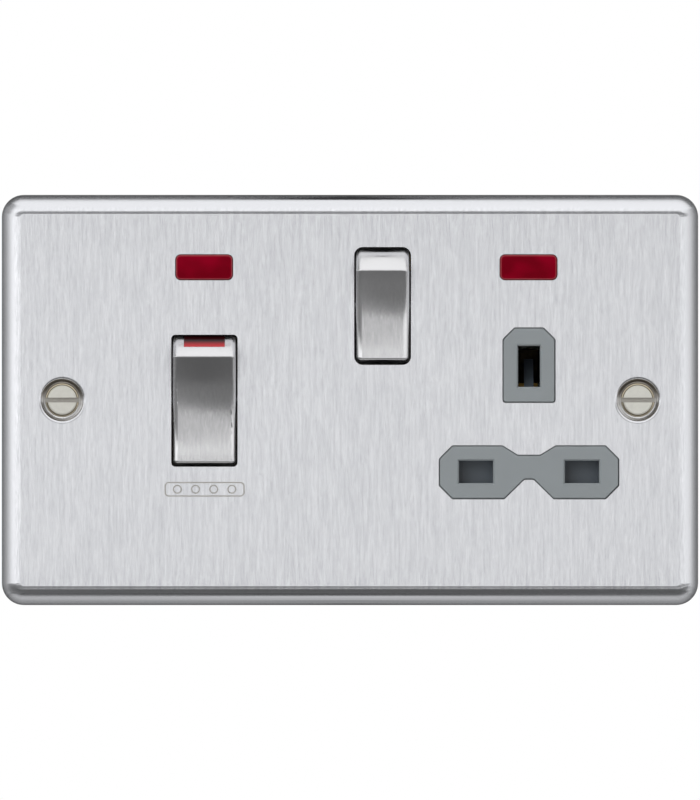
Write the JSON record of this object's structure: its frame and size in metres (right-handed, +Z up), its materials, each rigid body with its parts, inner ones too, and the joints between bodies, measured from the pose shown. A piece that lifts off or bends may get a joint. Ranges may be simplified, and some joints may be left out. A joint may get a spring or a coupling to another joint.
{
  "type": "cooker control unit",
  "caption": "Twin wall plate in brushed steel with a cooker rocker switch, a switched three-pin socket and neon indicators, over a moulded base with brass contacts and terminals.",
  "frame": {"origin": "centre of the plate's rear rim plane, which is the wall plane, midway between the two fixing screws", "axes": "+X to the right seen from the front, +Y into the wall, +Z up"},
  "size_m": [0.146, 0.034, 0.086],
  "materials": {
    "brushed_steel_plate": "satin",
    "rocker_steel": "satin",
    "grey_insert": "matt",
    "base_plastic": "matt",
    "shutter_plastic": "matt",
    "plunger_plastic": "satin",
    "red_lens": "gloss",
    "red_flag": "satin",
    "lamp_glass": "gloss",
    "resistor_ceramic": "matt",
    "brass_contacts": "bright",
    "steel_pin": "bright",
    "spring_steel": "bright",
    "plated_screws": "satin"
  },
  "bodies": {
    "base": {"base_moulding": "base_plastic", "cooker_live_load_strip": "brass_contacts", "cooker_live_saddle_strip": "brass_contacts", "cooker_neon_lamp": "lamp_glass", "cooker_neon_lens": "red_lens", "cooker_neutral_load_strip": "brass_contacts", "cooker_neutral_saddle_strip": "brass_contacts", "cooker_pivot_pin": "steel_pin", "cover_screws": "plated_screws", "earth_terminal": "brass_contacts", "face_plate": "brushed_steel_plate", "fixing_screws": "plated_screws", "load_live_terminal": "brass_contacts", "load_neutral_terminal": "brass_contacts", "neon_resistors": "resistor_ceramic", "plate_earth_strap": "brass_contacts", "rear_cover": "base_plastic", "shutter_spring": "spring_steel", "socket_earth_clip": "brass_contacts", "socket_earth_strip": "brass_contacts", "socket_feed_strip": "brass_contacts", "socket_insert": "grey_insert", "socket_live_clip": "brass_contacts", "socket_live_strip": "brass_contacts", "socket_neon_lamp": "lamp_glass", "socket_neon_lens": "red_lens", "socket_neutral_clip": "brass_contacts", "socket_neutral_strip": "brass_contacts", "socket_pivot_pin": "steel_pin", "supply_live_terminal": "brass_contacts", "supply_neutral_terminal": "brass_contacts", "terminal_screws": "plated_screws"},
    "cooker_rocker": {"cooker_rocker": "rocker_steel", "cooker_on_flag": "red_flag"},
    "socket_rocker": {"socket_rocker": "rocker_steel"},
    "cooker_neutral_plunger": {"cooker_neutral_plunger": "plunger_plastic", "cooker_neutral_plunger_spring": "spring_steel"},
    "cooker_live_plunger": {"cooker_live_plunger": "plunger_plastic", "cooker_live_plunger_spring": "spring_steel"},
    "socket_plunger": {"socket_plunger": "plunger_plastic", "socket_plunger_spring": "spring_steel"},
    "cooker_neutral_arm": {"cooker_neutral_arm": "brass_contacts"},
    "cooker_live_arm": {"cooker_live_arm": "brass_contacts"},
    "socket_live_arm": {"socket_live_arm": "brass_contacts"},
    "shutter": {"shutter": "shutter_plastic"}
  },
  "joints": [
    {"name": "cooker_hinge", "type": "hinge", "parent": "base", "child": "cooker_rocker", "pos_m": [-0.0305, 0.0035, -0.00015], "axis": [1, 0, 0], "range_deg": [-20, 0]},
    {"name": "socket_hinge", "type": "hinge", "parent": "base", "child": "socket_rocker", "pos_m": [0.00683, 0.0035, 0.0197], "axis": [1, 0, 0], "range_deg": [-20, 0]},
    {"name": "cooker_neutral_arm_tilt", "type": "hinge", "parent": "base", "child": "cooker_neutral_arm", "pos_m": [-0.0341, 0.01518, -0.00015], "axis": [1, 0, 0], "range_deg": [0, 12]},
    {"name": "cooker_live_arm_tilt", "type": "hinge", "parent": "base", "child": "cooker_live_arm", "pos_m": [-0.0269, 0.01518, -0.00015], "axis": [1, 0, 0], "range_deg": [0, 12]},
    {"name": "socket_live_arm_tilt", "type": "hinge", "parent": "base", "child": "socket_live_arm", "pos_m": [0.00683, 0.01518, 0.0197], "axis": [1, 0, 0], "range_deg": [0, 12]},
    {"name": "cooker_neutral_plunger_slide", "type": "slide", "parent": "cooker_rocker", "child": "cooker_neutral_plunger", "axis": [0, 0.9848, 0.1736], "range_m": [-0.0006, 0], "stiffness_N_per_m": 300, "springref_m": 0.003, "deforming": ["cooker_neutral_plunger_spring"]},
    {"name": "cooker_live_plunger_slide", "type": "slide", "parent": "cooker_rocker", "child": "cooker_live_plunger", "axis": [0, 0.9848, 0.1736], "range_m": [-0.0006, 0], "stiffness_N_per_m": 300, "springref_m": 0.003, "deforming": ["cooker_live_plunger_spring"]},
    {"name": "socket_plunger_slide", "type": "slide", "parent": "socket_rocker", "child": "socket_plunger", "axis": [0, 0.9848, 0.1736], "range_m": [-0.0006, 0], "stiffness_N_per_m": 300, "springref_m": 0.003, "deforming": ["socket_plunger_spring"]},
    {"name": "shutter_slide", "type": "slide", "parent": "base", "child": "shutter", "axis": [0, 0, -1], "range_m": [0, 0.0058], "stiffness_N_per_m": 120, "springref_m": -0.003, "deforming": ["shutter_spring"]}
  ],
  "couplings": [
    {"joint": "cooker_neutral_arm_tilt", "follows": "cooker_hinge", "ratio": -0.6},
    {"joint": "cooker_live_arm_tilt", "follows": "cooker_hinge", "ratio": -0.6},
    {"joint": "socket_live_arm_tilt", "follows": "socket_hinge", "ratio": -0.6}
  ]
}
